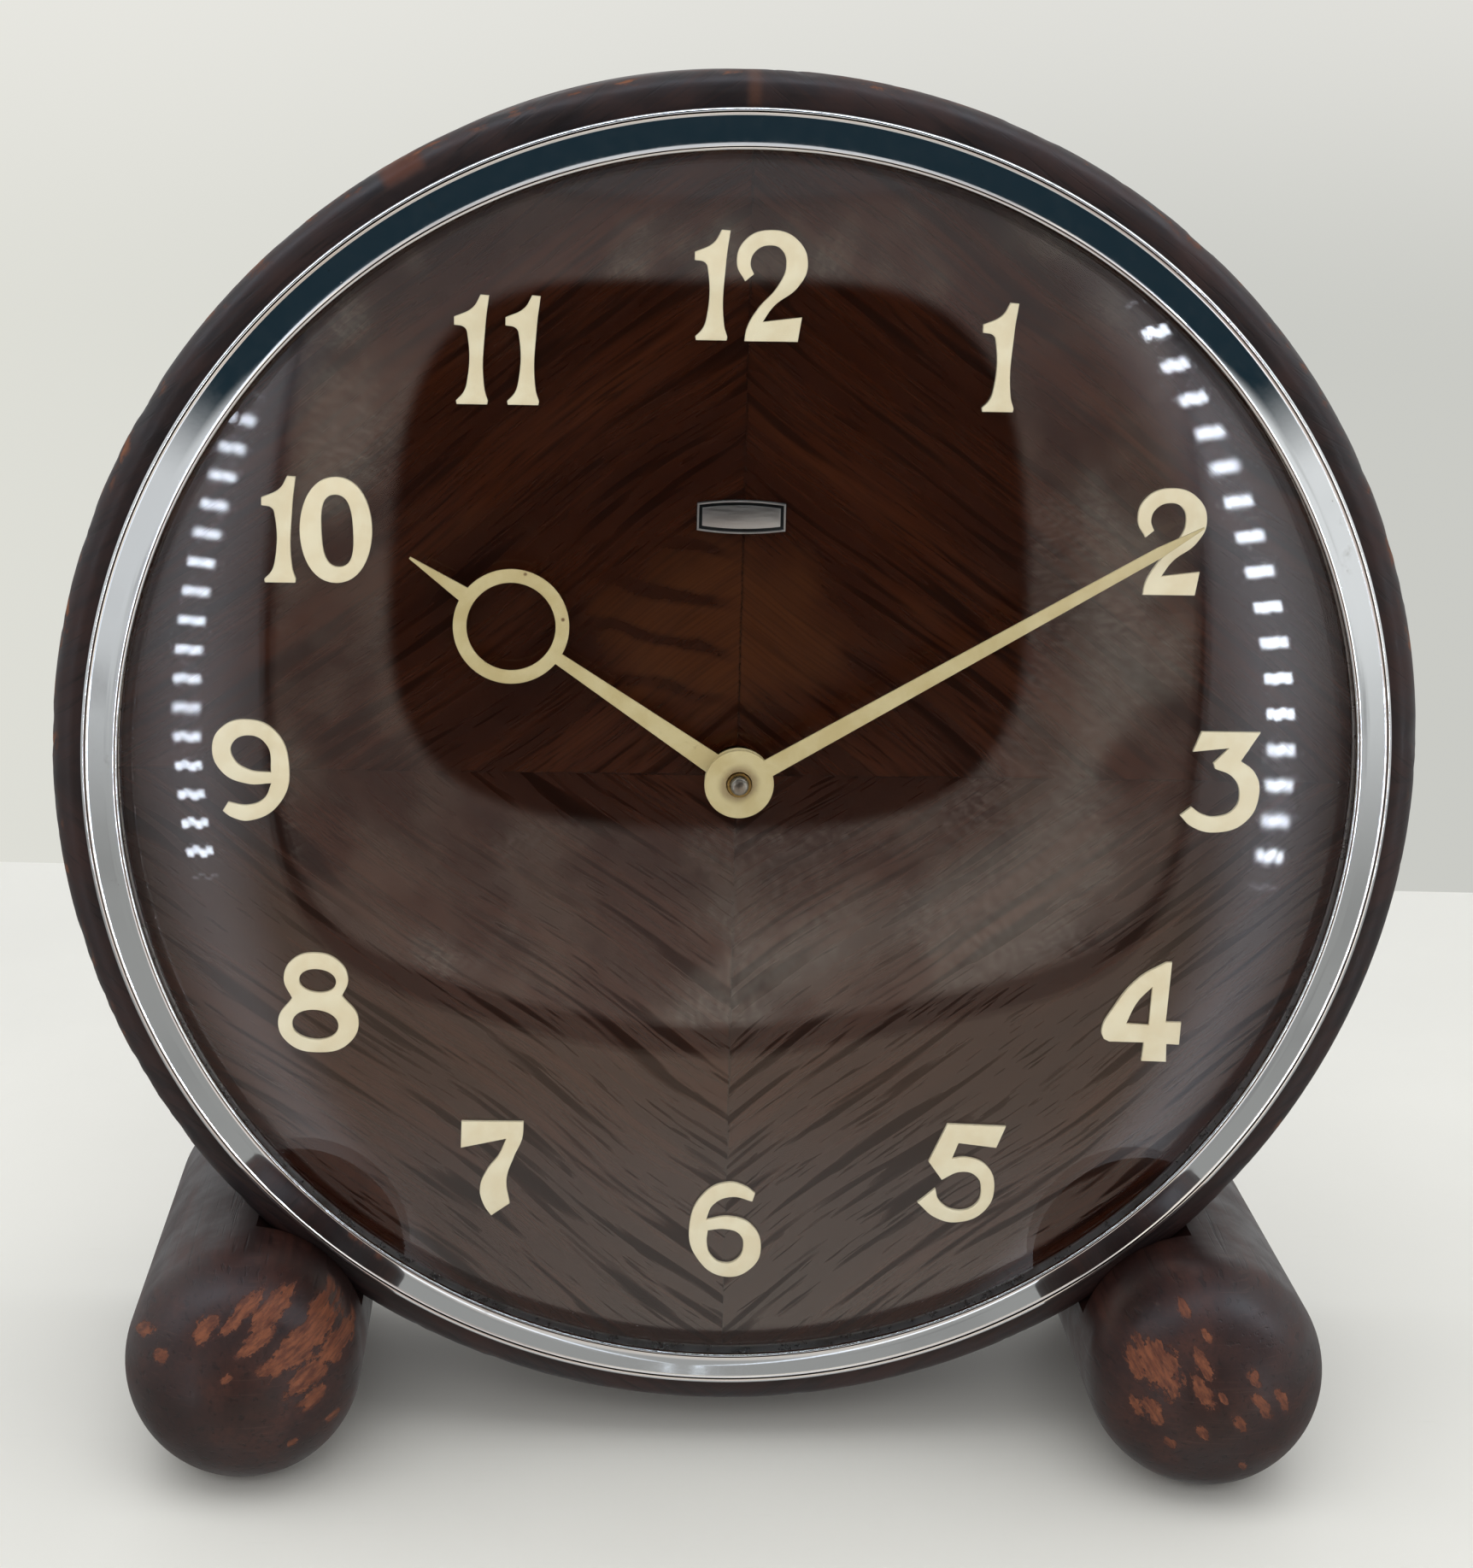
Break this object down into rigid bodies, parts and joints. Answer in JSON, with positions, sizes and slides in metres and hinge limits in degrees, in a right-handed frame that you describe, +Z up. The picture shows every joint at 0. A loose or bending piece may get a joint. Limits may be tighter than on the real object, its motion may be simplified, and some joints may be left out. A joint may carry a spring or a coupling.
{
  "type": "mantel clock",
  "caption": "Round wooden mantel clock on two dowel feet, with a domed glass, a chrome bezel, raised numerals and a back-wound spring movement.",
  "frame": {"origin": "centre of the bounding box's bottom face, on the surface that the feet stand on", "axes": "X right, Y back (the dial faces -Y), Z up; the dial's centre is 105.85 mm up"},
  "size_m": [0.2, 0.0936, 0.2059],
  "materials": {
    "veneer": "dark mahogany veneer, quarter-matched, glossy polish",
    "stained_wood": "dark stained solid wood, worn polish",
    "board": "plain hardboard",
    "chrome": "polished plating",
    "glass": "clear, strongly domed",
    "ivory": "cream, satin",
    "hand_paint": "cream paint, slightly speckled with age",
    "badge_silver": "satin silver with a dark edge line",
    "brass": "lightly tarnished",
    "steel": "plain bright steel",
    "blued_steel": "blued spring steel"
  },
  "bodies": {
    "case": {"front_panel": "veneer", "case_drum": "stained_wood", "back_cover": "board", "back_cover_screw_1": "steel", "back_cover_screw_2": "steel", "back_cover_screw_3": "steel", "bezel": "chrome", "glass": "glass", "glass_ring": "steel", "foot_left": "stained_wood", "foot_right": "stained_wood", "foot_screw_left_1": "steel", "foot_screw_left_2": "steel", "foot_screw_right_1": "steel", "foot_screw_right_2": "steel", "digit_1": "ivory", "digit_2": "ivory", "digit_3": "ivory", "digit_4": "ivory", "digit_5": "ivory", "digit_6": "ivory", "digit_7": "ivory", "digit_8": "ivory", "digit_9": "ivory", "digit_10_one": "ivory", "digit_10_zero": "ivory", "digit_11_left": "ivory", "digit_11_right": "ivory", "digit_12_one": "ivory", "digit_12_two": "ivory", "dial_badge": "badge_silver", "front_plate": "brass", "back_plate": "brass", "pillar_1": "brass", "pillar_2": "brass", "pillar_3": "brass", "pillar_4": "brass", "movement_screw_1": "steel", "movement_screw_2": "steel", "mainspring": "blued_steel", "hairspring": "blued_steel"},
    "minute_hand_assembly": {"minute_arbor": "steel", "cannon_pinion": "brass", "minute_hand": "hand_paint", "set_knob": "brass"},
    "hour_hand_assembly": {"hour_wheel": "brass", "hour_hand": "hand_paint"},
    "minute_wheel_assembly": {"minute_wheel": "brass"},
    "third_wheel_assembly": {"third_wheel": "steel"},
    "centre_wheel_assembly": {"centre_wheel": "brass"},
    "great_wheel_assembly": {"great_wheel": "brass"},
    "fourth_wheel_assembly": {"fourth_wheel": "steel"},
    "escape_wheel_assembly": {"escape_wheel": "steel"},
    "winding_assembly": {"winding_arbor": "steel", "ratchet_wheel": "steel", "winding_key": "brass"},
    "click_pawl": {"click": "steel"},
    "pallet_assembly": {"pallet_lever": "steel"},
    "balance_assembly": {"balance_wheel": "steel"},
    "regulator": {"regulator_lever": "steel"}
  },
  "joints": [
    {"name": "minute_arbor_turn", "type": "hinge", "parent": "case", "child": "minute_hand_assembly", "pos_m": [0, -0.00118, 0.10585], "axis": [0, 1, 0], "continuous": true},
    {"name": "hour_wheel_turn", "type": "hinge", "parent": "case", "child": "hour_hand_assembly", "pos_m": [0, -0.01148, 0.10585], "axis": [0, 1, 0], "continuous": true},
    {"name": "minute_wheel_turn", "type": "hinge", "parent": "case", "child": "minute_wheel_assembly", "pos_m": [0.00848, -0.00918, 0.09736], "axis": [0, 1, 0], "continuous": true},
    {"name": "third_wheel_turn", "type": "hinge", "parent": "case", "child": "third_wheel_assembly", "pos_m": [-0.01819, 0.00282, 0.11635], "axis": [0, 1, 0], "continuous": true},
    {"name": "centre_wheel_turn", "type": "hinge", "parent": "case", "child": "centre_wheel_assembly", "pos_m": [0, -0.00248, 0.10585], "axis": [0, 1, 0], "continuous": true},
    {"name": "great_wheel_turn", "type": "hinge", "parent": "case", "child": "great_wheel_assembly", "pos_m": [0, -0.00017, 0.07785], "axis": [0, 1, 0], "continuous": true},
    {"name": "fourth_wheel_turn", "type": "hinge", "parent": "case", "child": "fourth_wheel_assembly", "pos_m": [-0.00979, 0.00783, 0.1309], "axis": [0, 1, 0], "continuous": true},
    {"name": "escape_wheel_turn", "type": "hinge", "parent": "case", "child": "escape_wheel_assembly", "pos_m": [0.00421, 0.01383, 0.1309], "axis": [0, 1, 0], "continuous": true},
    {"name": "winding_arbor_turn", "type": "hinge", "parent": "case", "child": "winding_assembly", "pos_m": [0, 0.01883, 0.07785], "axis": [0, 1, 0], "continuous": true},
    {"name": "click_swing", "type": "hinge", "parent": "great_wheel_assembly", "child": "click_pawl", "pos_m": [0.00858, 0.00183, 0.08505], "axis": [0, 1, 0], "range_deg": [0, 12], "stiffness_Nm_per_rad": 0.0001, "springref_deg": -11.46},
    {"name": "pallet_rock", "type": "hinge", "parent": "case", "child": "pallet_assembly", "pos_m": [0.01551, 0.01282, 0.1309], "axis": [0, 1, 0], "range_deg": [-4, 4]},
    {"name": "balance_swing", "type": "hinge", "parent": "case", "child": "balance_assembly", "pos_m": [0.02711, 0.01082, 0.12779], "axis": [0, 1, 0], "range_deg": [-150, 150], "stiffness_Nm_per_rad": 0.00005},
    {"name": "regulator_swing", "type": "hinge", "parent": "case", "child": "regulator", "pos_m": [0.02711, 0.01982, 0.12779], "axis": [0, 1, 0], "range_deg": [-18, 18]}
  ],
  "couplings": [
    {"joint": "hour_wheel_turn", "follows": "minute_arbor_turn", "ratio": 0.083333},
    {"joint": "minute_wheel_turn", "follows": "minute_arbor_turn", "ratio": -0.33333},
    {"joint": "centre_wheel_turn", "follows": "third_wheel_turn", "ratio": -0.16667},
    {"joint": "great_wheel_turn", "follows": "third_wheel_turn", "ratio": 0.027778},
    {"joint": "fourth_wheel_turn", "follows": "third_wheel_turn", "ratio": -6},
    {"joint": "escape_wheel_turn", "follows": "third_wheel_turn", "ratio": 36}
  ]
}
